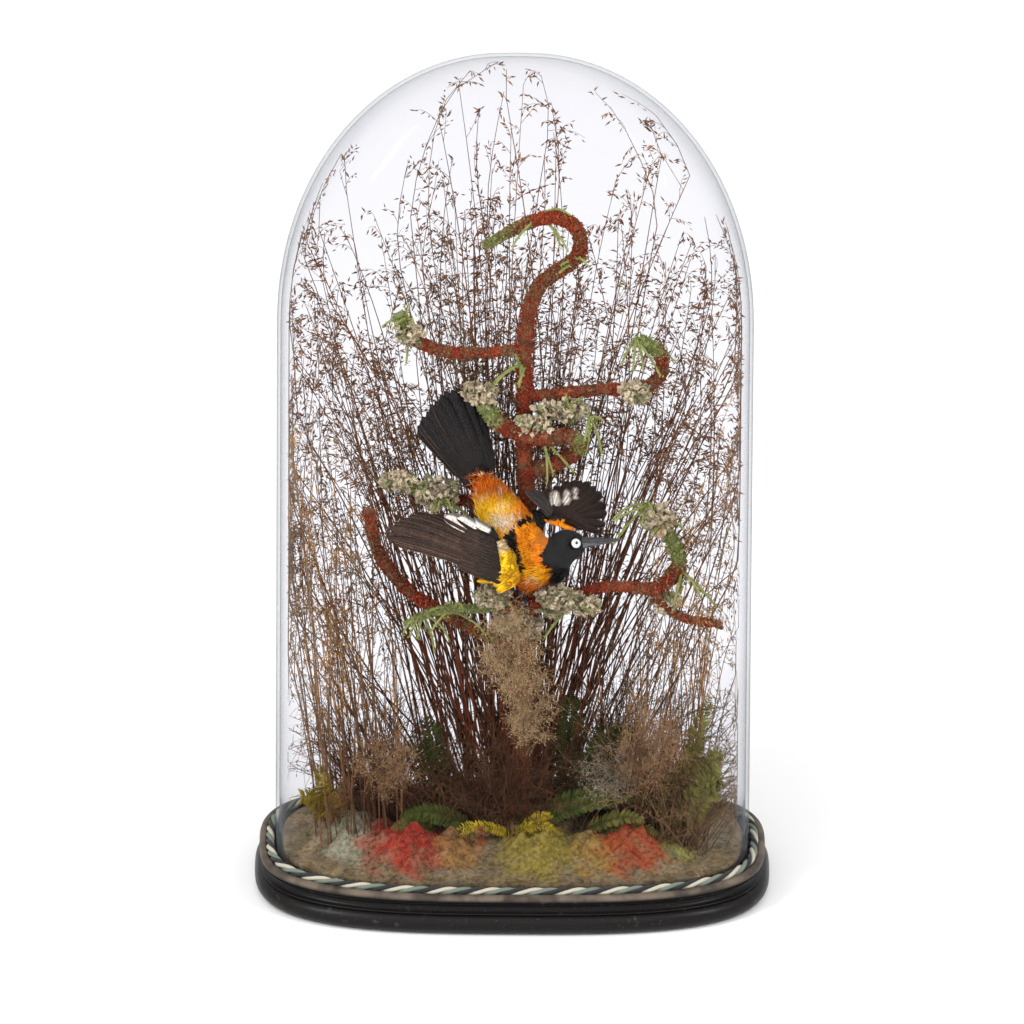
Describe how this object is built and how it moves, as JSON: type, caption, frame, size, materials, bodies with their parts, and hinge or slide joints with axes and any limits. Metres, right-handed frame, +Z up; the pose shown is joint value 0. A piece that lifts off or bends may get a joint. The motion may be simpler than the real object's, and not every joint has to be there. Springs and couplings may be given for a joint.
{
  "type": "mounted troupial in glass dome",
  "caption": "Mounted troupial with spread wings on a flocked wire tree with dried grasses, under an oval glass dome on a moulded black base.",
  "frame": {"origin": "middle of the base's underside", "axes": "+Z up; +X to the right seen from the front, towards the bird's head; -Y is the front"},
  "size_m": [0.432, 0.232, 0.754],
  "materials": {
    "ebonised_wood": "satin black stain, worn brown along the lip",
    "chenille": "twisted pile in cream, black and grey-green",
    "clear_glass": "clear blown glass",
    "groundwork": "sanded and painted papier mache",
    "flock": "red-brown flock over wrapped wire, mossy green at the ends",
    "lichen": "dried cream lichen",
    "straw": "dried grass",
    "orange_feather": "soft orange and yellow body feathers",
    "black_feather": "black feathers with a slight sheen",
    "wing_feather": "brown-black flight feathers with a white patch",
    "horn": "dark grey horn",
    "glass_eye": "glass eye with a white ring and a black middle"
  },
  "bodies": {
    "base": {"base_plinth": "ebonised_wood", "base_rope": "chenille", "bill_lower": "horn", "bill_upper": "horn", "bird_head": "black_feather", "bird_neck": "orange_feather", "bird_trunk": "orange_feather", "branch_left_fork": "flock", "branch_left_high": "flock", "branch_left_low": "flock", "branch_left_middle": "flock", "branch_loop": "flock", "branch_perch": "flock", "branch_right_high": "flock", "branch_right_low": "flock", "brush_left": "straw", "brush_middle": "straw", "brush_right": "straw", "eye_left": "glass_eye", "eye_right": "glass_eye", "grass_stem_01": "straw", "grass_stem_02": "straw", "grass_stem_03": "straw", "grass_stem_04": "straw", "grass_stem_05": "straw", "grass_stem_06": "straw", "grass_stem_07": "straw", "grass_stem_08": "straw", "grass_stem_09": "straw", "grass_stem_10": "straw", "grass_stem_11": "straw", "grass_stem_12": "straw", "groundwork": "groundwork", "leg_left": "horn", "leg_right": "horn", "lichen_1": "lichen", "lichen_2": "lichen", "lichen_3": "lichen", "lichen_4": "lichen", "lichen_5": "lichen", "lichen_6": "lichen", "tail": "black_feather", "tree_trunk": "flock", "wing_arm_left": "black_feather", "wing_arm_right": "black_feather", "wing_left": "wing_feather", "wing_right": "wing_feather"},
    "dome": {"dome_glass": "clear_glass"}
  },
  "joints": [
    {"name": "dome_lift", "type": "slide", "parent": "base", "child": "dome", "axis": [0, 0, 1], "range_m": [0, 0.78]}
  ]
}
